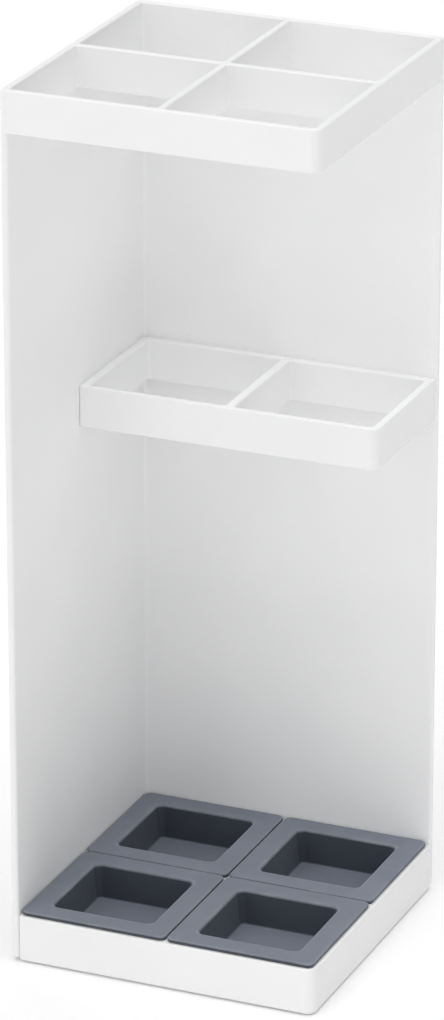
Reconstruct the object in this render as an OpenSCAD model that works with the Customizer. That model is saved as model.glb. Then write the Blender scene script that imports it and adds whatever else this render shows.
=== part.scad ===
// Umbrella stand: an L-shaped wall panel carries a top frame with four cells, a half-depth
// middle frame with two cells and a base tray, on which four loose drip cups rest.
// X runs left to right, Y front to back and Z up. The origin is on the floor, under the middle.

/* [Overall size] */
// Width, left to right
stand_w = 200; // [190:1:240]
// Depth, front to back
stand_d = 200; // [190:1:240]
// Height, floor to the top rim
stand_h = 560; // [480:1:620]

/* [Wall panel] */
// Thickness of both walls
wall_t = 4.5; // [4.2:0.1:5]
// Radius of the bend on its inner side
bend_r = 2.5; // [1:0.5:3]
// Height of the walls' lower edge above the floor
panel_lift = 2.5; // [1.5:0.1:4]
// Radius of the lower front and lower right corners
panel_corner_r = 3; // [1:0.5:6]

/* [Frames] */
// Height of the top and middle frames
band_h = 26; // [20:1:34]
// Thickness of the middle frame's outer walls; those of the top frame are flush with the panel
band_t = 5; // [4.5:0.1:6]
// Thickness of the cross-shaped divider in the top frame
top_divider_t = 4.5; // [3:0.1:6]
// Thickness of the divider in the middle frame
mid_divider_t = 6; // [3:0.1:7]
// Height of the middle frame's upper rim above the floor
mid_frame_z = 344; // [260:1:420]
// Distance from the stand's front to the middle frame's front
mid_frame_setback = 97.5; // [80:0.5:120]
// Distance from the panel's free right edge to the middle frame's right side
mid_frame_inset = 1; // [0:0.5:3]
// Outer radius of the free front right corners
front_corner_r = 6.5; // [4:0.5:10]
// Outer radius of the back left corner
back_corner_r = 5; // [4:0.5:8]
// Outer radius of the other two corners
small_corner_r = 2.5; // [1:0.5:4]
// Radius of the corners inside a cell
cell_r = 2; // [1:0.5:4]

/* [Tongue and groove] */
// Thickness of the tongues along the panel's upper edge
tongue_t = 2; // [1.5:0.1:2.2]
// Height of the tongues
tongue_h = 12; // [6:1:16]
// Length of each tongue
tongue_l = 130; // [60:5:150]
// Play between a tongue and its groove
groove_play = 0.15; // [0.1:0.05:0.2]

/* [Base tray] */
// Height of the tray's rim above the floor
tray_rim_z = 31; // [28:1:36]
// Thickness of the tray's walls
tray_wall_t = 5; // [5:0.5:7]
// Thickness of the tray's floor
tray_floor_t = 3; // [2.5:0.5:4]
// Width of the cross rib that carries the inner edges of the cups
tray_rib_w = 8; // [6:0.5:12]

/* [Foot pads] */
// Diameter of a pad
pad_d = 16; // [10:1:20]
// Thickness of a pad
pad_t = 2; // [1.5:0.5:3]
// Depth of the pad's recess in the tray
pad_recess = 1; // [0.5:0.1:1.4]
// Distance of a pad's centre from the tray's sides
pad_inset = 20; // [14:1:40]
// Play between a pad and its recess
pad_play = 0.2; // [0.1:0.1:0.5]

/* [Drip cups] */
// Play between a cup's flange and the panel
cup_play = 0.8; // [0.4:0.1:1]
// Gap between two neighbouring flanges
cup_gap = 1; // [0.8:0.1:2]
// Distance from the tray's free edges to the flanges
cup_inset = 2; // [1.5:0.5:3]
// Thickness of a flange
flange_t = 3; // [2:0.5:4]
// Height of the step under a flange's edge, which leaves a gap for a fingertip
edge_step_h = 0.8; // [0.3:0.1:1]
// Width of that step
edge_step_w = 0.7; // [0.3:0.1:1.2]
// Corner radius of a flange
flange_r = 4; // [2:0.5:6]
// Width of the recess at its mouth
mouth_w = 67; // [50:1:70]
// Depth of the recess
recess_depth = 22; // [15:1:23]
// How far each wall leans in from mouth to floor
wall_lean = 3; // [1:0.5:6]
// Thickness of a cup's wall and floor
cup_t = 2; // [1.5:0.1:2.5]
// Corner radius of the mouth
mouth_r = 5; // [4:0.5:12]

/* [Screws] */
// Shank diameter
screw_d = 3; // [2.5:0.1:3.5]
// Length under the head
screw_l = 6; // [5:0.5:6]
// Head diameter
head_d = 5.5; // [5:0.1:6]
// Head height
head_h = 2; // [1.5:0.1:2]
// Length of the cross slot's arms
driver_slot_l = 3; // [2:0.1:4]
// Width of the cross slot's arms
driver_slot_w = 0.7; // [0.5:0.1:1]
// Depth of the cross slot
driver_slot_depth = 0.9; // [0.5:0.1:1.2]

/* [Hidden] */

$fn = 64;
hull_fn = 32;

// How far cutting shapes run past a face, and how far joined shapes reach into each other
eps = 0.01;
overlap = 1;

// The outer faces, and the inner faces of the two walls
left_x = -stand_w / 2;
right_x = stand_w / 2;
front_y = -stand_d / 2;
back_y = stand_d / 2;
wall_x = left_x + wall_t;
wall_y = back_y - wall_t;
panel_top_z = stand_h - band_h;

// The middle frame's plan, and the middle of its divider
mid_frame_low = [wall_x, front_y + mid_frame_setback];
mid_frame_high = [right_x - mid_frame_inset, wall_y];
mid_divider_x = (mid_frame_low.x + mid_frame_high.x) / 2;

// Corner radii [front left, front right, back right, back left] of the pieces inside the L,
// whose back left corner stays clear of the bend
bend_gap = 0.5;
inner_radii = [small_corner_r, front_corner_r, small_corner_r / 2, bend_r + bend_gap];
outer_radii = [small_corner_r, front_corner_r, small_corner_r, back_corner_r];

tray_z = pad_t - pad_recess;
tray_floor_z = tray_z + tray_floor_t;

// The cups stand two by two between the walls and the tray's free edges
cup_field = [
    [wall_x + cup_play, front_y + cup_inset],
    [right_x - cup_inset, wall_y - cup_play]
];
cup_w = (cup_field[1].x - cup_field[0].x - cup_gap) / 2;
cup_d = (cup_field[1].y - cup_field[0].y - cup_gap) / 2;
cup_cross = [cup_field[0].x + cup_w + cup_gap / 2, cup_field[0].y + cup_d + cup_gap / 2];
flange_z = tray_rim_z + flange_t;

// Screws: heads sit below the panel's outer face and the holes end inside the frame's wall
head_play = 0.7;
head_sink = 0.3;
clearance_play = 0.4;
pilot_play = 0.1;
tip_play = 0.2;
counterbore_d = head_d + head_play;
counterbore_depth = head_h + head_sink;
clearance_d = screw_d + clearance_play;
pilot_d = screw_d + pilot_play;
pilot_depth = counterbore_depth + screw_l + tip_play - wall_t;
mid_screw_z = mid_frame_z - band_h / 2;
tray_screw_z = (tray_z + tray_rim_z) / 2;
screw_x = stand_w / 4;
screw_y = stand_d / 4;

// Places of the screws that enter from the back, as [x, z], and from the left, as [y, z]
mid_back_screws = [[-screw_x, mid_screw_z], [screw_x, mid_screw_z]];
mid_left_screws = [[(mid_frame_low.y + mid_frame_high.y) / 2, mid_screw_z]];
tray_back_screws = [[-screw_x, tray_screw_z], [screw_x, tray_screw_z]];
tray_left_screws = [[-screw_y, tray_screw_z], [screw_y, tray_screw_z]];

white = [0.95, 0.95, 0.95];
slate = [0.42, 0.46, 0.53];
steel = [0.72, 0.72, 0.74];
dark_grey = [0.25, 0.25, 0.27];

// ---------- Outlines ----------

// What a square corner at the origin loses when it is rounded to radius r
module corner_waste(r) {
    difference() {
        translate([-eps, -eps]) square(r + eps);
        translate([r, r]) circle(r);
    }
}

// Rectangle from low to high, with radii [front left, front right, back right, back left]
module rounded_rect(low, high, r) {
    size = high - low;
    translate(low) difference() {
        square(size);
        corner_waste(r[0]);
        translate([size.x, 0]) mirror([1, 0]) corner_waste(r[1]);
        translate(size) mirror([1, 0]) mirror([0, 1]) corner_waste(r[2]);
        translate([0, size.y]) mirror([0, 1]) corner_waste(r[3]);
    }
}

// Same radius on all four corners
module even_rect(low, high, r) {
    rounded_rect(low, high, [r, r, r, r]);
}

// ---------- Screws ----------

// Shapes that lie along +X from a left outer face at the origin, and the same seen from behind
module from_left(places) {
    for (p = places) translate([left_x, p[0], p[1]]) rotate([0, 90, 0]) children();
}

module from_back(places) {
    for (p = places) translate([p[0], back_y, p[1]]) rotate([90, 0, 0]) children();
}

// Hole in the panel: a counterbore for the head and a clearance hole
module panel_hole() {
    translate([0, 0, -eps]) cylinder(d = counterbore_d, h = counterbore_depth + eps);
    cylinder(d = clearance_d, h = wall_t + eps);
}

// Blind hole in a frame's wall, behind the panel
module pilot_hole() {
    translate([0, 0, wall_t - eps]) cylinder(d = pilot_d, h = pilot_depth + eps);
}

// Pan-head screw, its head seated in the counterbore
module screw() {
    translate([0, 0, counterbore_depth]) {
        cylinder(d = screw_d, h = screw_l);
        difference() {
            translate([0, 0, -head_h]) cylinder(d = head_d, h = head_h);
            for (a = [0, 90]) rotate(a) driver_slot();
        }
    }
}

// One arm of the cross slot in the head
module driver_slot() {
    translate([-driver_slot_l / 2, -driver_slot_w / 2, -head_h - eps])
        cube([driver_slot_l, driver_slot_w, driver_slot_depth + eps]);
}

// ---------- Wall panel ----------

// Plan of the L: both free edges are fully rounded and the bend has an inner and an outer radius
module panel_plan() {
    edge = wall_t / 2;
    difference() {
        union() {
            translate([left_x, front_y + edge]) square([wall_t, stand_d - edge]);
            translate([left_x + edge, front_y + edge]) circle(edge);
            translate([left_x, wall_y]) square([stand_w - edge, wall_t]);
            translate([right_x - edge, back_y - edge]) circle(edge);
            translate([wall_x, wall_y]) mirror([0, 1]) corner_waste(bend_r);
        }
        translate([left_x, back_y]) mirror([0, 1]) corner_waste(back_corner_r);
    }
}

// Tongues along the upper edge, centred in the walls, grown by play on every side
module tongues(play) {
    t = tongue_t + 2 * play;
    l = tongue_l + 2 * play;
    h = tongue_h + play;
    translate([left_x + (wall_t - t) / 2, -l / 2, panel_top_z - eps]) cube([t, l, h + eps]);
    translate([-l / 2, back_y - (wall_t + t) / 2, panel_top_z - eps]) cube([l, t, h + eps]);
}

module wall_panel() {
    color(white) difference() {
        union() {
            translate([0, 0, panel_lift]) linear_extrude(panel_top_z - panel_lift) panel_plan();
            tongues(0);
        }
        from_left(concat(mid_left_screws, tray_left_screws)) panel_hole();
        from_back(concat(mid_back_screws, tray_back_screws)) panel_hole();
        // The lower corner of each free edge
        translate([left_x - overlap, front_y, panel_lift]) rotate([90, 0, 90])
            linear_extrude(wall_t + 2 * overlap) corner_waste(panel_corner_r);
        translate([right_x, back_y + overlap, panel_lift]) rotate([90, 0, 0])
            linear_extrude(wall_t + 2 * overlap) mirror([1, 0]) corner_waste(panel_corner_r);
    }
}

// ---------- Frames ----------

// Ring with cells: walls of thickness t, and a divider on each line in xs and ys
module cell_frame_plan(low, high, radii, t, divider_t, xs, ys) {
    half = divider_t / 2;
    x_lines = concat([low.x + t - half], xs, [high.x - t + half]);
    y_lines = concat([low.y + t - half], ys, [high.y - t + half]);
    difference() {
        rounded_rect(low, high, radii);
        for (i = [1:len(x_lines) - 1], j = [1:len(y_lines) - 1]) {
            cell_low = [x_lines[i - 1] + half, y_lines[j - 1] + half];
            cell_high = [x_lines[i] - half, y_lines[j] - half];
            even_rect(cell_low, cell_high, cell_r);
        }
    }
}

module top_frame() {
    color(white) difference() {
        translate([0, 0, panel_top_z]) linear_extrude(band_h)
            cell_frame_plan([left_x, front_y], [right_x, back_y], outer_radii,
                wall_t, top_divider_t, [0], [0]);
        tongues(groove_play);
    }
}

module mid_frame() {
    color(white) difference() {
        translate([0, 0, mid_frame_z - band_h]) linear_extrude(band_h)
            cell_frame_plan(mid_frame_low, mid_frame_high, inner_radii,
                band_t, mid_divider_t, [mid_divider_x], []);
        from_left(mid_left_screws) pilot_hole();
        from_back(mid_back_screws) pilot_hole();
    }
}

// ---------- Base tray ----------

// Centre of the pad in the corner [sx, sy], with -1 for left or front and 1 for right or back
function pad_centre(corner) = [
    corner.x < 0 ? wall_x + pad_inset : right_x - pad_inset,
    corner.y < 0 ? front_y + pad_inset : wall_y - pad_inset
];

corners = [[-1, -1], [1, -1], [-1, 1], [1, 1]];

module base_tray() {
    low = [wall_x, front_y];
    high = [right_x, wall_y];
    color(white) difference() {
        union() {
            translate([0, 0, tray_z]) linear_extrude(tray_floor_t)
                rounded_rect(low, high, inner_radii);
            translate([0, 0, tray_floor_z]) linear_extrude(tray_rim_z - tray_floor_z)
                cell_frame_plan(low, high, inner_radii,
                    tray_wall_t, tray_rib_w, [cup_cross.x], [cup_cross.y]);
        }
        for (c = corners) translate(concat(pad_centre(c), [tray_z - eps]))
            cylinder(d = pad_d + 2 * pad_play, h = pad_recess + eps);
        from_left(tray_left_screws) pilot_hole();
        from_back(tray_back_screws) pilot_hole();
    }
}

module foot_pad(corner) {
    color(dark_grey) translate(concat(pad_centre(corner), [0])) cylinder(d = pad_d, h = pad_t);
}

// ---------- Drip cups ----------

// Frustum between a square of width w at height z and one of width floor_w at floor_z
module cup_taper(w, r, z, floor_w, floor_r, floor_z) {
    hull() {
        translate([0, 0, z - eps]) linear_extrude(eps)
            even_rect([-w / 2, -w / 2], [w / 2, w / 2], r, $fn = hull_fn);
        translate([0, 0, floor_z]) linear_extrude(eps)
            even_rect([-floor_w / 2, -floor_w / 2], [floor_w / 2, floor_w / 2], floor_r, $fn = hull_fn);
    }
}

// Plan of a flange, inset on every side
module flange_plan(inset) {
    half = [cup_w / 2 - inset, cup_d / 2 - inset];
    even_rect(-half, half, flange_r - inset);
}

module drip_cup(corner) {
    centre = [
        cup_cross.x + corner.x * (cup_gap + cup_w) / 2,
        cup_cross.y + corner.y * (cup_gap + cup_d) / 2
    ];
    floor_z = flange_z - recess_depth;
    floor_w = mouth_w - 2 * wall_lean;
    floor_r = mouth_r - wall_lean / 2;
    color(slate) translate(concat(centre, [0])) difference() {
        union() {
            translate([0, 0, tray_rim_z]) linear_extrude(flange_t) flange_plan(edge_step_w);
            translate([0, 0, tray_rim_z + edge_step_h]) linear_extrude(flange_t - edge_step_h)
                flange_plan(0);
            cup_taper(mouth_w + 2 * cup_t, mouth_r + cup_t, tray_rim_z + overlap,
                floor_w + 2 * cup_t, floor_r + cup_t, floor_z - cup_t);
        }
        cup_taper(mouth_w, mouth_r, flange_z + 2 * eps, floor_w, floor_r, floor_z);
    }
}

// ---------- Groups of screws ----------

module mid_frame_screws() {
    color(steel) {
        from_left(mid_left_screws) screw();
        from_back(mid_back_screws) screw();
    }
}

module base_tray_screws() {
    color(steel) {
        from_left(tray_left_screws) screw();
        from_back(tray_back_screws) screw();
    }
}

wall_panel();
top_frame();
mid_frame();
base_tray();
drip_cup([-1, -1]);  // drip_cup_front_left
drip_cup([1, -1]);  // drip_cup_front_right
drip_cup([-1, 1]);  // drip_cup_back_left
drip_cup([1, 1]);  // drip_cup_back_right
mid_frame_screws();
base_tray_screws();
foot_pad([-1, -1]);  // foot_pad_front_left
foot_pad([1, -1]);  // foot_pad_front_right
foot_pad([-1, 1]);  // foot_pad_back_left
foot_pad([1, 1]);  // foot_pad_back_right
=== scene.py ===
import math

import bmesh
import bpy
from mathutils import Matrix, Vector


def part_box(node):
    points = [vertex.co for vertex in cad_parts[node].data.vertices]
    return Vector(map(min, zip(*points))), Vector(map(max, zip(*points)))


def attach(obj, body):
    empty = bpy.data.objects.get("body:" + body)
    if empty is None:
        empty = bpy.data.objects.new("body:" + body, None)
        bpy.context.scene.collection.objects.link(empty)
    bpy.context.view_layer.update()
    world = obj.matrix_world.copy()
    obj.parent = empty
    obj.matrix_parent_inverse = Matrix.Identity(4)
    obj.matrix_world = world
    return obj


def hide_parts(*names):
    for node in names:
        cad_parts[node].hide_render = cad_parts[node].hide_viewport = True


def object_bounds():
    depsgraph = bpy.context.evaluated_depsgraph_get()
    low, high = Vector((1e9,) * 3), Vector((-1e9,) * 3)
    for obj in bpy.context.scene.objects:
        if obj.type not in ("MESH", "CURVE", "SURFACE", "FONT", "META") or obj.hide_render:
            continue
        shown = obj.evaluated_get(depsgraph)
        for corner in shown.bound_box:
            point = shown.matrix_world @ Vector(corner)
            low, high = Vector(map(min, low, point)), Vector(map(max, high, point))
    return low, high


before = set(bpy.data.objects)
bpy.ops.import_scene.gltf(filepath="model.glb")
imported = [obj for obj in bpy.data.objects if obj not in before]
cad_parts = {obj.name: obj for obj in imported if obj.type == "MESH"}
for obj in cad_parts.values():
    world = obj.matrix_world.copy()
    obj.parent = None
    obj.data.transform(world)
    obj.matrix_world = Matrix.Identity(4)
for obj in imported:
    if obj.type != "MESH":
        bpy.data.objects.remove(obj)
cad_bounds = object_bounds()

# ---------- Sizes ----------
# All lengths are in metres. Places come from the boxes of the CAD nodes, and the rest are named here.

MM = 0.001
CORNER_STEPS = 10
EDGE_STEPS = 6
CIRCLE_STEPS = 48
SHARP_ANGLE = math.radians(38)
TINY = 0.02 * MM

panel_low, panel_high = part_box("wall_panel")
top_low, top_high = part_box("top_frame")
mid_low, mid_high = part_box("mid_frame")
tray_low, tray_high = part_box("base_tray")

stand_w = panel_high.x - panel_low.x
stand_d = panel_high.y - panel_low.y
wall_t = tray_low.x - panel_low.x
wall_half = wall_t / 2

# Radii of the corners seen from above
bend_r = 2.5 * MM
bend_gap_r = 3 * MM
front_corner_r = 6.5 * MM
back_corner_r = 5 * MM
small_corner_r = 2.5 * MM
inside_corner_r = small_corner_r / 2
cell_r = 2 * MM
panel_corner_r = 3 * MM

# Walls of the frames and the tray
band_t = 5 * MM
top_divider_t = 4.5 * MM
mid_divider_t = 6 * MM
tray_wall_t = 5 * MM
tray_floor_t = 3 * MM
tray_rib_w = 8 * MM
rim_edge_r = 1.1 * MM
seated_edge_r = 0.35 * MM
lower_edge_r = 0.5 * MM
joint_edge_r = 0.12 * MM
panel_edge_r = 0.5 * MM
tray_edge_r = 0.9 * MM
tray_lower_r = 2 * MM
pocket_edge_r = 0.8 * MM
pocket_fillet_r = 1.2 * MM

# Tongues along the panel's upper edge, and their play in the grooves
tongue_t = 2 * MM
tongue_l = 130 * MM
groove_play = 0.15 * MM
tongue_h = panel_high.z - top_low.z

# Screws: shank, head, counterbore in the panel and pilot hole in the frames
shank_r = 1.5 * MM
shank_l = 6 * MM
head_r = 2.75 * MM
head_h = 2 * MM
head_sink = 0.3 * MM
counterbore_r = 3.1 * MM
counterbore_depth = head_h + head_sink
clearance_r = 1.7 * MM
pilot_r = 1.55 * MM
pilot_end = counterbore_depth + shank_l + 0.2 * MM
chamfer = 0.3 * MM
head_edge = 0.15 * MM
thread_pitch = 1 * MM
thread_depth = 0.35 * MM
cross_depth = 1.3 * MM
cross_mouth_half = (1.8 * MM, 0.46 * MM)
cross_tip_half = (0.6 * MM, 0.28 * MM)

# Foot pads
pad_recess = 1 * MM
pad_play = 0.2 * MM
pad_sole_edge_r = 0.5 * MM
pad_top_edge_r = 0.3 * MM
pad_groove_depth = 0.35 * MM

# Drip cups
flange_t = 3 * MM
flange_r = 4 * MM
mouth_half = 33.5 * MM
flange_edge_r = 1.3 * MM
edge_step_h = 0.8 * MM
edge_step_w = 0.7 * MM
mouth_r = 5 * MM
wall_lean = 3 * MM
cup_t = 2 * MM
lip_r = 2 * MM
underside_fillet_r = 1 * MM
floor_fillet_r = 1.4 * MM

CUPS = ["drip_cup_front_left", "drip_cup_front_right", "drip_cup_back_left", "drip_cup_back_right"]
PADS = ["foot_pad_front_left", "foot_pad_front_right", "foot_pad_back_left", "foot_pad_back_right"]


# ---------- Outlines, as lists of (x, y) ----------

def arc(centre, radius, start, end, steps=CORNER_STEPS):
    """Points along an arc from one angle to another, in degrees, both ends included."""
    points = []
    for k in range(steps + 1):
        angle = math.radians(start + (end - start) * k / steps)
        points.append((centre[0] + radius * math.cos(angle), centre[1] + radius * math.sin(angle)))
    return points


def circle(centre, radius):
    return arc(centre, radius, 0, 360, CIRCLE_STEPS)[:-1]


def rectangle(low, high, radii, inset=0.0):
    """Rounded rectangle. Radii are [front left, front right, back right, back left]."""
    corners = [
        (low.x, low.y, 1, 1),
        (high.x, low.y, -1, 1),
        (high.x, high.y, -1, -1),
        (low.x, high.y, 1, -1),
    ]
    points = []
    for k, (x, y, toward_x, toward_y) in enumerate(corners):
        radius = max(radii[k] - inset, TINY)
        reach = inset + radius
        centre = (x + toward_x * reach, y + toward_y * reach)
        points += arc(centre, radius, 180 + 90 * k, 270 + 90 * k)
    return points


def free_end(inset):
    """Round free edge of a wall, as (distance from the edge, offset across the wall)."""
    radius = wall_half - inset
    straight = [panel_corner_r, (wall_half + panel_corner_r) / 2]
    steps = 2 * CORNER_STEPS
    tip = [math.pi * k / steps for k in range(steps + 1)]
    points = [(s, -radius) for s in straight]
    points += [(wall_half - radius * math.sin(a), -radius * math.cos(a)) for a in tip]
    points += [(s, radius) for s in reversed(straight)]
    return points


def panel_outline(inset):
    """Plan of the L-shaped panel: free end, inner bend, free end, outer bend."""
    left, front = panel_low.x, panel_low.y
    right, back = panel_high.x, panel_high.y
    points = [(left + wall_half + across, front + s) for s, across in free_end(inset)]
    inner = (left + wall_t + bend_r, back - wall_t - bend_r)
    points += arc(inner, bend_r + inset, 180, 90)
    points += [(right - s, back - wall_half + across) for s, across in free_end(inset)]
    outer = (left + back_corner_r, back - back_corner_r)
    points += arc(outer, back_corner_r - inset, 90, 180)
    return points


# ---------- Profiles, as lists of (inset into the material, height, wear) ----------

def quarter(steps=EDGE_STEPS):
    return [math.pi / 2 * k / steps for k in range(steps + 1)]


def upper_edge(z, radius):
    """Rounding from the wall up to a flat top at z."""
    return [
        (radius * (1 - math.cos(a)), z - radius + radius * math.sin(a), math.sin(2 * a))
        for a in quarter()
    ]


def lower_edge(z, radius):
    """Rounding from a flat underside at z up to the wall."""
    return [
        (radius * (1 - math.sin(a)), z + radius - radius * math.cos(a), math.sin(2 * a))
        for a in quarter()
    ]


def floor_fillet(z, radius):
    """Hollow rounding from a floor at z up to the wall of a pocket."""
    return [(-inset, height, 0.0) for inset, height, edge_mark in lower_edge(z, radius)]


# ---------- Mesh building ----------

def new_mesh():
    bm = bmesh.new()
    # Edge mark per vertex: wear on the plastic and the steel, a painted highlight on the silicone.
    bm.verts.layers.float.new("wear_and_highlight_edges")
    return bm


def add_ring(bm, points, edge_mark=0.0):
    """Closed ring of vertices through 3-D points."""
    layer = bm.verts.layers.float["wear_and_highlight_edges"]
    ring = []
    for point in points:
        vertex = bm.verts.new(point)
        vertex[layer] = edge_mark
        ring.append(vertex)
    return ring


def skin(bm, rings):
    """Surface through rings that have the same number of vertices."""
    for lower, upper in zip(rings, rings[1:]):
        for k in range(len(lower)):
            bm.faces.new((lower[k - 1], lower[k], upper[k], upper[k - 1]))


def wall(bm, outline, profile):
    """Side surface that follows an outline. Returns its lowest and highest ring."""
    rings = []
    for inset, z, edge_mark in profile:
        rings.append(add_ring(bm, [(x, y, z) for x, y in outline(inset)], edge_mark))
    skin(bm, rings)
    return rings[0], rings[-1]


def fill(bm, rings):
    """Flat face between an outer ring and the rings of its holes."""
    edges = [bm.edges.get((ring[k - 1], ring[k])) for ring in rings for k in range(len(ring))]
    bmesh.ops.triangle_fill(bm, edges=edges, use_beauty=True, use_dissolve=False)


def closed_skin(bm, rings):
    """Surface through rings, with a flat face on the first and on the last."""
    skin(bm, rings)
    fill(bm, [rings[0]])
    fill(bm, [rings[-1]])


def to_piece(bm, name):
    bmesh.ops.recalc_face_normals(bm, faces=bm.faces)
    mesh = bpy.data.meshes.new(name)
    bm.to_mesh(mesh)
    bm.free()
    piece = bpy.data.objects.new(name, mesh)
    bpy.context.scene.collection.objects.link(piece)
    return piece


def combine(piece, bm, operation):
    """Cuts the closed shapes in bm out of a piece, or joins them to it."""
    tool = to_piece(bm, piece.name + "_tool")
    modifier = piece.modifiers.new("combine", "BOOLEAN")
    modifier.operation = operation
    modifier.solver = "EXACT"
    modifier.object = tool
    depsgraph = bpy.context.evaluated_depsgraph_get()
    mesh = bpy.data.meshes.new_from_object(piece.evaluated_get(depsgraph), depsgraph=depsgraph)
    piece.modifiers.clear()
    piece.data = mesh
    bpy.data.objects.remove(tool)


def finish_piece(piece, body, slot, material, *nodes):
    """Smooth shading with true sharp edges, the material, and the piece's place in the frame."""
    piece.data.shade_smooth()
    piece.data.set_sharp_from_angle(angle=SHARP_ANGLE)
    normals = piece.modifiers.new("flat_faces_first", "WEIGHTED_NORMAL")
    normals.keep_sharp = True
    piece.data.materials.clear()
    piece.data.materials.append(material)
    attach(piece, body)
    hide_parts(*nodes)


def add_box(bm, low, high):
    outline = [(low[0], low[1]), (high[0], low[1]), (high[0], high[1]), (low[0], high[1])]
    closed_skin(bm, [add_ring(bm, [(x, y, z) for x, y in outline]) for z in (low[2], high[2])])


def add_lathe(bm, matrix, path, steps=CIRCLE_STEPS):
    """Closed turned shape. The path holds (radius, height) from one end cap to the other."""
    rings = []
    for radius, z in path:
        points = [matrix @ Vector((x, y, z)) for x, y in arc((0, 0), radius, 0, 360, steps)[:-1]]
        rings.append(add_ring(bm, points))
    closed_skin(bm, rings)


# ---------- Screw places ----------
# Each is a matrix whose Z axis runs from the panel's outer face into the stand.

def from_left(y, z):
    return Matrix.Translation((panel_low.x, y, z)) @ Matrix.Rotation(math.radians(90), 4, "Y")


def from_back(x, z):
    return Matrix.Translation((x, panel_high.y, z)) @ Matrix.Rotation(math.radians(90), 4, "X")


mid_screw_z = (mid_low.z + mid_high.z) / 2
tray_screw_z = (tray_low.z + tray_high.z) / 2
mid_screws = [from_back(side * stand_w / 4, mid_screw_z) for side in (-1, 1)]
mid_screws += [from_left((mid_low.y + mid_high.y) / 2, mid_screw_z)]
tray_screws = [from_back(side * stand_w / 4, tray_screw_z) for side in (-1, 1)]
tray_screws += [from_left(side * stand_d / 4, tray_screw_z) for side in (-1, 1)]


def pilot_holes(places):
    """Blind holes with a drilled point, from just inside the panel into a frame's wall."""
    bm = new_mesh()
    for place in places:
        path = [(pilot_r, wall_half), (pilot_r, pilot_end - pilot_r / 2), (pilot_r / 6, pilot_end)]
        add_lathe(bm, place, path)
    return bm


# ---------- Wall panel ----------

def rise(point):
    """How far the rounded lower corner of a free edge lifts the panel's underside there."""
    s = min(point.y - panel_low.y, panel_high.x - point.x)
    if s >= panel_corner_r:
        return 0.0
    return panel_corner_r - math.sqrt(panel_corner_r ** 2 - (panel_corner_r - s) ** 2)


def tongues(play):
    bm = new_mesh()
    half_t = tongue_t / 2 + play
    half_l = tongue_l / 2 + play
    base_z = top_low.z - wall_half
    top_z = top_low.z + tongue_h + play
    middle_x = panel_low.x + wall_half
    middle_y = panel_high.y - wall_half
    add_box(bm, (middle_x - half_t, -half_l, base_z), (middle_x + half_t, half_l, top_z))
    add_box(bm, (-half_l, middle_y - half_t, base_z), (half_l, middle_y + half_t, top_z))
    return bm


def build_wall_panel(material):
    bm = new_mesh()
    profile = lower_edge(panel_low.z, panel_edge_r) + upper_edge(top_low.z, joint_edge_r)
    bottom, top = wall(bm, panel_outline, profile)
    middle_z = (panel_low.z + top_low.z) / 2
    for vertex in bm.verts:
        if vertex.co.z < middle_z:
            vertex.co.z += rise(vertex.co)
    fill(bm, [bottom])
    fill(bm, [top])
    piece = to_piece(bm, "wall_panel_moulding")
    combine(piece, tongues(0), "UNION")
    holes = new_mesh()
    path = [
        (counterbore_r + 2 * chamfer, -chamfer),
        (counterbore_r + chamfer, 0),
        (counterbore_r, chamfer),
        (counterbore_r, counterbore_depth),
        (clearance_r, counterbore_depth),
        (clearance_r, wall_t + chamfer),
    ]
    for place in mid_screws + tray_screws:
        add_lathe(holes, place, path)
    combine(piece, holes, "DIFFERENCE")
    finish_piece(piece, "stand", "white_plastic", material, "wall_panel")


# ---------- Frames ----------

def cell_corners(low, high, t, divider_t, x_lines, y_lines):
    """Lowest and highest corner of each cell between the walls and the dividers."""
    half = divider_t / 2
    xs = [low.x + t - half, *x_lines, high.x - t + half]
    ys = [low.y + t - half, *y_lines, high.y - t + half]
    cells = []
    for x0, x1 in zip(xs, xs[1:]):
        for y0, y1 in zip(ys, ys[1:]):
            cells.append((Vector((x0 + half, y0 + half)), Vector((x1 - half, y1 - half))))
    return cells


def cell_outline(cell):
    """Outline of a cell, as a function of the inset into the material around it."""
    return lambda inset: rectangle(*cell, [cell_r] * 4, -inset)


def cell_frame(name, low, high, radii, cells, lower_r, outer_r):
    """Band with cells that go right through. lower_r rounds its lower edges, outer_r its outer rim."""
    bm = new_mesh()
    lower = lower_edge(low.z, lower_r)
    outside = lower + upper_edge(high.z, outer_r)
    inside = lower + upper_edge(high.z, rim_edge_r)
    ends = [wall(bm, lambda inset: rectangle(low, high, radii, inset), outside)]
    ends += [wall(bm, cell_outline(cell), inside) for cell in cells]
    fill(bm, [bottom for bottom, top in ends])
    fill(bm, [top for bottom, top in ends])
    return to_piece(bm, name)


def build_top_frame(material):
    radii = [small_corner_r, front_corner_r, small_corner_r, back_corner_r]
    cells = cell_corners(top_low, top_high, wall_t, top_divider_t, [0], [0])
    piece = cell_frame("top_frame_moulding", top_low, top_high, radii, cells, joint_edge_r, rim_edge_r)
    combine(piece, tongues(groove_play), "DIFFERENCE")
    finish_piece(piece, "stand", "white_plastic", material, "top_frame")


def build_mid_frame(material):
    radii = [inside_corner_r, front_corner_r, inside_corner_r, bend_gap_r]
    middle_x = (mid_low.x + mid_high.x) / 2
    cells = cell_corners(mid_low, mid_high, band_t, mid_divider_t, [middle_x], [])
    piece = cell_frame("mid_frame_moulding", mid_low, mid_high, radii, cells, lower_edge_r, seated_edge_r)
    combine(piece, pilot_holes(mid_screws), "DIFFERENCE")
    finish_piece(piece, "stand", "white_plastic", material, "mid_frame")


# ---------- Base tray ----------

def cup_middle(name):
    low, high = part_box(name)
    return (low + high) / 2


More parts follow.
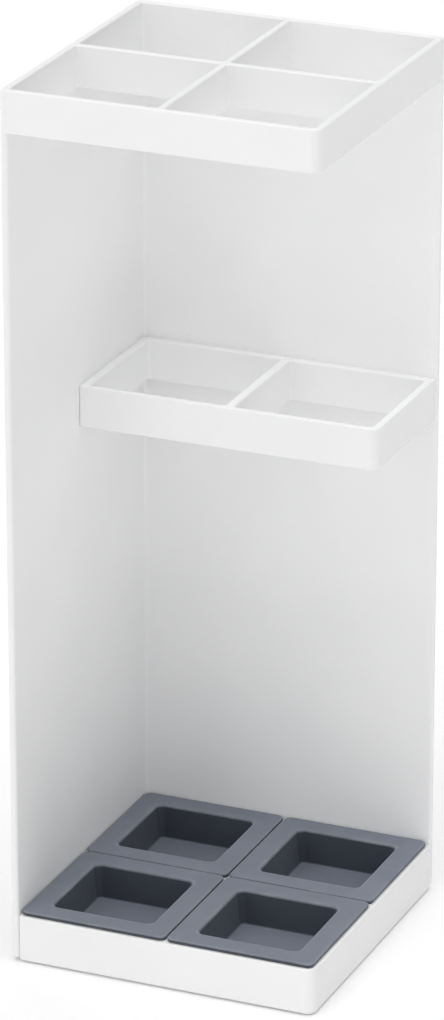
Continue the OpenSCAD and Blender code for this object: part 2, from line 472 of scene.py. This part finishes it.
def build_base_tray(material):
    bm = new_mesh()
    radii = [small_corner_r, front_corner_r, inside_corner_r, bend_gap_r]
    front_left, back_right = cup_middle(CUPS[0]), cup_middle(CUPS[3])
    cross = (front_left + back_right) / 2
    cells = cell_corners(tray_low, tray_high, tray_wall_t, tray_rib_w, [cross.x], [cross.y])
    outer_profile = lower_edge(tray_low.z, tray_lower_r) + upper_edge(tray_high.z, tray_edge_r)
    underside, rim = wall(bm, lambda inset: rectangle(tray_low, tray_high, radii, inset), outer_profile)
    pocket_floor_z = tray_low.z + tray_floor_t
    pocket = floor_fillet(pocket_floor_z, pocket_fillet_r) + upper_edge(tray_high.z, pocket_edge_r)
    mouths = []
    for cell in cells:
        pocket_floor, mouth = wall(bm, cell_outline(cell), pocket)
        fill(bm, [pocket_floor])
        mouths.append(mouth)
    fill(bm, [rim, *mouths])
    recesses = []
    for name in PADS:
        low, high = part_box(name)
        centre = (low + high) / 2
        radius = (high.x - low.x) / 2 + pad_play
        steps = [(radius, tray_low.z), (radius, tray_low.z + pad_recess)]
        rings = [add_ring(bm, [(x, y, z) for x, y in circle(centre, r)]) for r, z in steps]
        skin(bm, rings)
        fill(bm, [rings[1]])
        recesses.append(rings[0])
    fill(bm, [underside, *recesses])
    piece = to_piece(bm, "base_tray_moulding")
    combine(piece, pilot_holes(tray_screws), "DIFFERENCE")
    finish_piece(piece, "stand", "white_plastic", material, "base_tray")


# ---------- Drip cups ----------

def blended(path, steps=EDGE_STEPS):
    """Path through points (x, y, z, blend length), with each corner rounded and the proud ones marked for a
    painted highlight.
    """
    points = [Vector(path[0][:3])]
    edge_mark = [0.0]
    for before, corner, after in zip(path, path[1:], path[2:]):
        middle = Vector(corner[:3])
        start = middle + (Vector(before[:3]) - middle).normalized() * corner[3]
        end = middle + (Vector(after[:3]) - middle).normalized() * corner[3]
        turn = (middle - start).xz.cross((end - middle).xz)
        for k in range(steps + 1):
            t = k / steps
            points.append(start * (1 - t) ** 2 + middle * 2 * t * (1 - t) + end * t ** 2)
            edge_mark.append(4 * t * (1 - t) if turn < 0 else 0.0)
    points.append(Vector(path[-1][:3]))
    edge_mark.append(0.0)
    return zip(points, edge_mark)


def build_drip_cup(name, material):
    low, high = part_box(name)
    centre = (low + high) / 2
    half = (high.x - low.x) / 2
    floor_z = low.z + cup_t
    floor_half = mouth_half - wall_lean
    floor_r = mouth_r - wall_lean / 2
    flange_z = high.z - flange_t
    # Half width, corner radius, height and blend length, from the recess's floor to the underside
    path = [
        (floor_half / 2, floor_r / 2, floor_z, 0),
        (floor_half, floor_r, floor_z, floor_fillet_r),
        (mouth_half, mouth_r, high.z, lip_r),
        (half, flange_r, high.z, flange_edge_r),
        (half, flange_r, flange_z + edge_step_h, flange_edge_r / 3),
        (half - edge_step_w, flange_r - edge_step_w, flange_z + edge_step_h, edge_step_w / 4),
        (half - edge_step_w, flange_r - edge_step_w, flange_z, edge_step_w / 4),
        (mouth_half + cup_t, mouth_r + cup_t, flange_z, underside_fillet_r),
        (floor_half + cup_t, floor_r + cup_t, low.z, floor_fillet_r),
        (floor_half / 2, floor_r / 2, low.z, 0),
    ]
    bm = new_mesh()
    rings = []
    for (width, radius, z), edge_mark in blended(path):
        reach = Vector((width, width))
        outline = rectangle(centre.xy - reach, centre.xy + reach, [radius] * 4)
        rings.append(add_ring(bm, [(x, y, z) for x, y in outline], edge_mark))
    closed_skin(bm, rings)
    piece = to_piece(bm, name + "_silicone")
    finish_piece(piece, name, "silicone", material, name)


# ---------- Foot pads ----------

def build_foot_pad(name, material):
    """Round pad with rounded edges and a ring-shaped groove in its sole."""
    low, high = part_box(name)
    centre = (low + high) / 2
    radius = (high.x - low.x) / 2
    groove = [
        (radius * 0.52, 0),
        (radius * 0.56, pad_groove_depth),
        (radius * 0.64, pad_groove_depth),
        (radius * 0.68, 0),
    ]
    sole_edge = [(radius - inset, z) for inset, z, edge_mark in lower_edge(0, pad_sole_edge_r)]
    top_edge = [(radius - inset, z) for inset, z, edge_mark in upper_edge(high.z - low.z, pad_top_edge_r)]
    bm = new_mesh()
    place = Matrix.Translation((centre.x, centre.y, low.z))
    add_lathe(bm, place, [(radius * 0.2, 0), *groove, *sole_edge, *top_edge])
    piece = to_piece(bm, name + "_disc")
    finish_piece(piece, "stand", "pad_rubber", material, name)


# ---------- Screws ----------

def thread_radius(angle, depth):
    """Radius of the shank at an angle and a depth below the head: a ridge that fades at both ends."""
    phase = (depth / thread_pitch - angle / (2 * math.pi)) % 1
    ridge = max(0.0, 1 - 2.4 * abs(phase - 0.5))
    fade = min(1.0, depth / thread_pitch, (shank_l - depth) / thread_pitch)
    return shank_r - thread_depth * (1 - ridge * fade)


def add_screw(bm, place):
    """Pan head in the counterbore and a threaded shank."""
    steps = CIRCLE_STEPS // 2
    top_z = head_sink
    base_z = counterbore_depth
    dome = [
        (head_r * math.sin(a), top_z + 0.62 * head_h * (1 - math.cos(a)) ** 1.5)
        for a in quarter(8)[1:]
    ]
    path = dome + [(head_r, base_z - head_edge), (head_r - head_edge, base_z)]
    rings = []
    for radius, z in path:
        points = [place @ Vector((x, y, z)) for x, y in arc((0, 0), radius, 0, 360, steps)[:-1]]
        rings.append(add_ring(bm, points, 0.3))
    rows = 48
    for row in range(rows + 1):
        depth = shank_l * row / rows
        taper = 1 - 0.35 * max(0.0, (depth - shank_l + thread_pitch) / thread_pitch)
        points = []
        for k in range(steps):
            angle = 2 * math.pi * k / steps
            radius = thread_radius(angle, depth) * taper
            x, y = radius * math.cos(angle), radius * math.sin(angle)
            points.append(place @ Vector((x, y, base_z + depth)))
        rings.append(add_ring(bm, points))
    closed_skin(bm, rings)


def add_driver_cross(bm, place):
    """Tapered cross, which cuts the recess for the screwdriver."""
    turns = [place @ Matrix.Rotation(math.radians(90 * k), 4, "Z") for k in range(4)]
    rings = []
    for (half_l, half_w), z in ((cross_mouth_half, 0), (cross_tip_half, cross_depth)):
        arm = [(half_w, -half_w), (half_l, -half_w), (half_l, half_w)]
        rings.append(add_ring(bm, [turn @ Vector((x, y, z)) for turn in turns for x, y in arm]))
    closed_skin(bm, rings)


def build_screws(node, places, material):
    bm = new_mesh()
    crosses = new_mesh()
    for place in places:
        add_screw(bm, place)
        add_driver_cross(crosses, place)
    piece = to_piece(bm, node + "_set")
    combine(piece, crosses, "DIFFERENCE")
    finish_piece(piece, "stand", "screw_steel", material, node)


# ---------- Materials ----------

def add_node(tree, kind, inputs=None, **settings):
    """New shader node. An input that is a socket is linked, and any other is set."""
    node = tree.nodes.new(kind)
    for name, value in settings.items():
        setattr(node, name, value)
    for name, value in (inputs or {}).items():
        if isinstance(value, bpy.types.NodeSocket):
            tree.links.new(value, node.inputs[name])
        else:
            node.inputs[name].default_value = value
    return node


def new_material(name):
    material = bpy.data.materials.new(name)
    material.use_nodes = True
    tree = material.node_tree
    shader = tree.nodes["Principled BSDF"]
    place = add_node(tree, "ShaderNodeTexCoord").outputs["Object"]
    return material, tree, shader, place


def noise(tree, place, scale, detail=2.0, roughness=0.5):
    inputs = {"Vector": place, "Scale": scale, "Detail": detail, "Roughness": roughness}
    return add_node(tree, "ShaderNodeTexNoise", inputs).outputs["Fac"]


def remap(tree, value, low, high, to_low, to_high):
    inputs = {"Value": value, "From Min": low, "From Max": high, "To Min": to_low, "To Max": to_high}
    return add_node(tree, "ShaderNodeMapRange", inputs).outputs["Result"]


def times(tree, a, b):
    return add_node(tree, "ShaderNodeMath", {0: a, 1: b}, operation="MULTIPLY").outputs[0]


def plus(tree, a, b):
    return add_node(tree, "ShaderNodeMath", {0: a, 1: b}, operation="ADD").outputs[0]


def mix_colours(tree, factor, a, b):
    """Blend of two colours; each is a socket or (r, g, b)."""
    node = add_node(tree, "ShaderNodeMix", data_type="RGBA")
    tree.links.new(factor, node.inputs[0])
    for socket, value in ((node.inputs[6], a), (node.inputs[7], b)):
        if isinstance(value, bpy.types.NodeSocket):
            tree.links.new(value, socket)
        else:
            socket.default_value = (*value, 1)
    return node.outputs[2]


def bump(tree, height, distance, under=None):
    inputs = {"Height": height, "Distance": distance}
    if under is not None:
        inputs["Normal"] = under
    return add_node(tree, "ShaderNodeBump", inputs).outputs["Normal"]


def edge_wear_and_highlight_mask(tree, place, patch_scale, least=0.0):
    """Mask of patches along the rounded edges. The least value holds between the patches. On the plastic
    and the steel it is wear; on the silicone it paints a highlight along the edges.
    """
    edge = add_node(tree, "ShaderNodeAttribute", attribute_name="wear_and_highlight_edges").outputs["Fac"]
    patches = remap(tree, noise(tree, place, patch_scale, 3), 0.45, 0.62, least, 1)
    return times(tree, edge, patches)


def white_plastic():
    """Satin white moulded plastic with a fine grain, slight flow marks and lightly rubbed edges."""
    material, tree, shader, place = new_material("white_moulded_plastic")
    flow = noise(tree, place, 14, 4)
    grain = noise(tree, place, 2400, 2)
    edge_mask = edge_wear_and_highlight_mask(tree, place, 70)
    clouds = remap(tree, flow, 0.35, 0.65, 0, 1)
    colour = mix_colours(tree, clouds, (0.885, 0.886, 0.888), (0.905, 0.905, 0.904))
    colour = mix_colours(tree, times(tree, edge_mask, 0.5), colour, (0.92, 0.918, 0.91))
    specks = remap(tree, noise(tree, place, 420, 1), 0.74, 0.8, 0, 0.12)
    colour = mix_colours(tree, specks, colour, (0.45, 0.44, 0.42))
    smudges = remap(tree, noise(tree, place, 33, 5), 0.3, 0.7, 0.5, 0.62)
    rough = plus(tree, smudges, times(tree, edge_mask, -0.08))
    waves = bump(tree, noise(tree, place, 40, 2), 0.02 * MM)
    tree.links.new(colour, shader.inputs["Base Color"])
    tree.links.new(rough, shader.inputs["Roughness"])
    tree.links.new(bump(tree, grain, 0.012 * MM, waves), shader.inputs["Normal"])
    shader.inputs["IOR"].default_value = 1.49
    return material


def upward_painted_sheen(tree):
    """Mask of the faces that look up, where a paler colour is painted in as their sheen."""
    normal = add_node(tree, "ShaderNodeNewGeometry").outputs["Normal"]
    height = add_node(tree, "ShaderNodeSeparateXYZ", {"Vector": normal}).outputs["Z"]
    return remap(tree, height, 0.02, 0.97, 0, 1)


def blue_grey_silicone():
    """Matte blue-grey silicone with dust specks, a painted sheen that makes upward faces paler, and a
    painted highlight along the rounded edges.
    """
    material, tree, shader, place = new_material("blue_grey_silicone")
    mottle = noise(tree, place, 26, 4)
    clouds = remap(tree, mottle, 0.3, 0.7, 0, 1)
    colour = mix_colours(tree, clouds, (0.026, 0.031, 0.045), (0.033, 0.039, 0.055))
    patches = remap(tree, noise(tree, place, 38, 4), 0.3, 0.7, 0.86, 1)
    # Painted sheen: upward faces get a paler blue-grey, standing in for the grazing reflection of the
    # lights above.
    colour = mix_colours(tree, times(tree, upward_painted_sheen(tree), patches), colour, (0.184, 0.203, 0.248))
    # Painted highlight: the rounded edges of the flange and the lip get a paler colour, standing in for the
    # light they catch.
    edge_mask = times(tree, edge_wear_and_highlight_mask(tree, place, 50, 0.6), 0.85)
    colour = mix_colours(tree, edge_mask, colour, (0.26, 0.275, 0.31))
    dust = remap(tree, noise(tree, place, 1500, 1), 0.72, 0.8, 0, 0.3)
    colour = mix_colours(tree, dust, colour, (0.24, 0.25, 0.27))
    rough = remap(tree, noise(tree, place, 60, 4), 0.3, 0.7, 0.5, 0.6)
    waves = bump(tree, noise(tree, place, 90, 2), 0.03 * MM)
    tree.links.new(colour, shader.inputs["Base Color"])
    tree.links.new(rough, shader.inputs["Roughness"])
    tree.links.new(bump(tree, noise(tree, place, 1800, 3), 0.02 * MM, waves), shader.inputs["Normal"])
    shader.inputs["IOR"].default_value = 1.43
    shader.inputs["Specular IOR Level"].default_value = 0.4
    shader.inputs["Sheen Weight"].default_value = 0.35
    shader.inputs["Sheen Roughness"].default_value = 0.4
    shader.inputs["Sheen Tint"].default_value = (0.8, 0.87, 1.0, 1)
    return material


def screw_steel():
    """Zinc-plated steel with cloudy plating and brighter edges."""
    material, tree, shader, place = new_material("zinc_plated_steel")
    clouds = noise(tree, place, 500, 4)
    colour = mix_colours(tree, clouds, (0.56, 0.565, 0.58), (0.7, 0.7, 0.69))
    colour = mix_colours(tree, edge_wear_and_highlight_mask(tree, place, 400), colour, (0.8, 0.8, 0.8))
    rough = remap(tree, noise(tree, place, 1300, 3), 0.3, 0.7, 0.24, 0.42)
    tree.links.new(colour, shader.inputs["Base Color"])
    tree.links.new(rough, shader.inputs["Roughness"])
    tree.links.new(bump(tree, noise(tree, place, 3000, 2), 0.01 * MM), shader.inputs["Normal"])
    shader.inputs["Metallic"].default_value = 1.0
    return material


def pad_rubber():
    """Dark foam rubber with open pores and a dusty sole."""
    material, tree, shader, place = new_material("dark_foam_rubber")
    mottle = noise(tree, place, 180, 4)
    colour = mix_colours(tree, mottle, (0.03, 0.03, 0.033), (0.055, 0.055, 0.06))
    dust = remap(tree, noise(tree, place, 900, 2), 0.6, 0.75, 0, 0.5)
    colour = mix_colours(tree, dust, colour, (0.12, 0.118, 0.112))
    pores = noise(tree, place, 2200, 3, 0.7)
    rough = remap(tree, mottle, 0.3, 0.7, 0.8, 0.95)
    tree.links.new(colour, shader.inputs["Base Color"])
    tree.links.new(rough, shader.inputs["Roughness"])
    tree.links.new(bump(tree, pores, 0.06 * MM), shader.inputs["Normal"])
    return material


# ---------- Stage ----------

def build_floor():
    material, tree, shader, place = new_material("pale_floor")
    shader.inputs["Base Color"].default_value = (0.94, 0.94, 0.94, 1)
    shader.inputs["Roughness"].default_value = 0.9
    shader.inputs["Specular IOR Level"].default_value = 0.2
    shader.inputs["Emission Color"].default_value = (1, 1, 1, 1)
    shader.inputs["Emission Strength"].default_value = 0.06
    bm = bmesh.new()
    ring = [bm.verts.new((x, y, 0)) for x, y in circle((0, 0), 60)]
    bm.faces.new(ring)
    floor = to_piece(bm, "floor")
    floor.data.materials.append(material)


def add_softbox(name, toward_light, strength):
    """Distant light so broad that its shadows have no visible edge."""
    data = bpy.data.lights.new(name, "SUN")
    data.energy = strength
    data.angle = math.radians(70)
    lamp = bpy.data.objects.new(name, data)
    lamp.rotation_mode = "QUATERNION"
    lamp.rotation_quaternion = Vector(toward_light).to_track_quat("Z", "Y")
    bpy.context.scene.collection.objects.link(lamp)


def build_light():
    """White backdrop, and broad soft lights from above, in front, both sides and behind."""
    world = bpy.data.worlds.new("studio")
    bpy.context.scene.world = world
    world.use_nodes = True
    tree = world.node_tree
    surroundings = tree.nodes["Background"]
    surroundings.inputs["Color"].default_value = (1, 1, 1, 1)
    surroundings.inputs["Strength"].default_value = 0.02
    backdrop = add_node(tree, "ShaderNodeBackground", {"Color": (1, 1, 1, 1), "Strength": 1.0})
    seen = add_node(tree, "ShaderNodeLightPath").outputs["Is Camera Ray"]
    mixed = add_node(tree, "ShaderNodeMixShader", {0: seen})
    tree.links.new(surroundings.outputs[0], mixed.inputs[1])
    tree.links.new(backdrop.outputs[0], mixed.inputs[2])
    tree.links.new(mixed.outputs[0], tree.nodes["World Output"].inputs["Surface"])
    add_softbox("top", (0, 0, 1), 2.15)
    add_softbox("front", (0, -1, 0.5), 0.66)
    add_softbox("front_right", (1, -1, 0.6), 0.3)
    add_softbox("low_front_left", (-1, -1, 0.2), 0.85)
    add_softbox("low_right", (1, 0, 0.2), 0.54)
    add_softbox("back", (0, 1, 0.8), 0.45)
    bpy.context.scene.view_settings.view_transform = "Standard"


def build_camera():
    """Camera in front, to the right and above, at the photograph's angle."""
    azimuth = math.radians(23.05)
    elevation = math.radians(21.6)
    distance = 3.47
    aim_right = -2 * MM
    aim_up = -2.6 * MM
    level = math.cos(elevation)
    forward = Vector((-math.sin(azimuth) * level, math.cos(azimuth) * level, -math.sin(elevation)))
    right = Vector((math.cos(azimuth), math.sin(azimuth), 0))
    up = right.cross(forward)
    low, high = cad_bounds
    aim = (low + high) / 2 + right * aim_right + up * aim_up
    data = bpy.data.cameras.new("camera")
    data.lens = 202.2
    camera = bpy.data.objects.new("camera", data)
    turn = Matrix((right, up, -forward)).transposed().to_4x4()
    camera.matrix_world = Matrix.Translation(aim - forward * distance) @ turn
    bpy.context.scene.collection.objects.link(camera)
    bpy.context.scene.camera = camera


# ---------- The stand ----------

build_camera()
build_light()
build_floor()

plastic = white_plastic()
silicone = blue_grey_silicone()
steel = screw_steel()
rubber = pad_rubber()

build_wall_panel(plastic)
build_top_frame(plastic)
build_mid_frame(plastic)
build_base_tray(plastic)
for cup in CUPS:
    build_drip_cup(cup, silicone)
for pad in PADS:
    build_foot_pad(pad, rubber)
build_screws("mid_frame_screws", mid_screws, steel)
build_screws("base_tray_screws", tray_screws, steel)
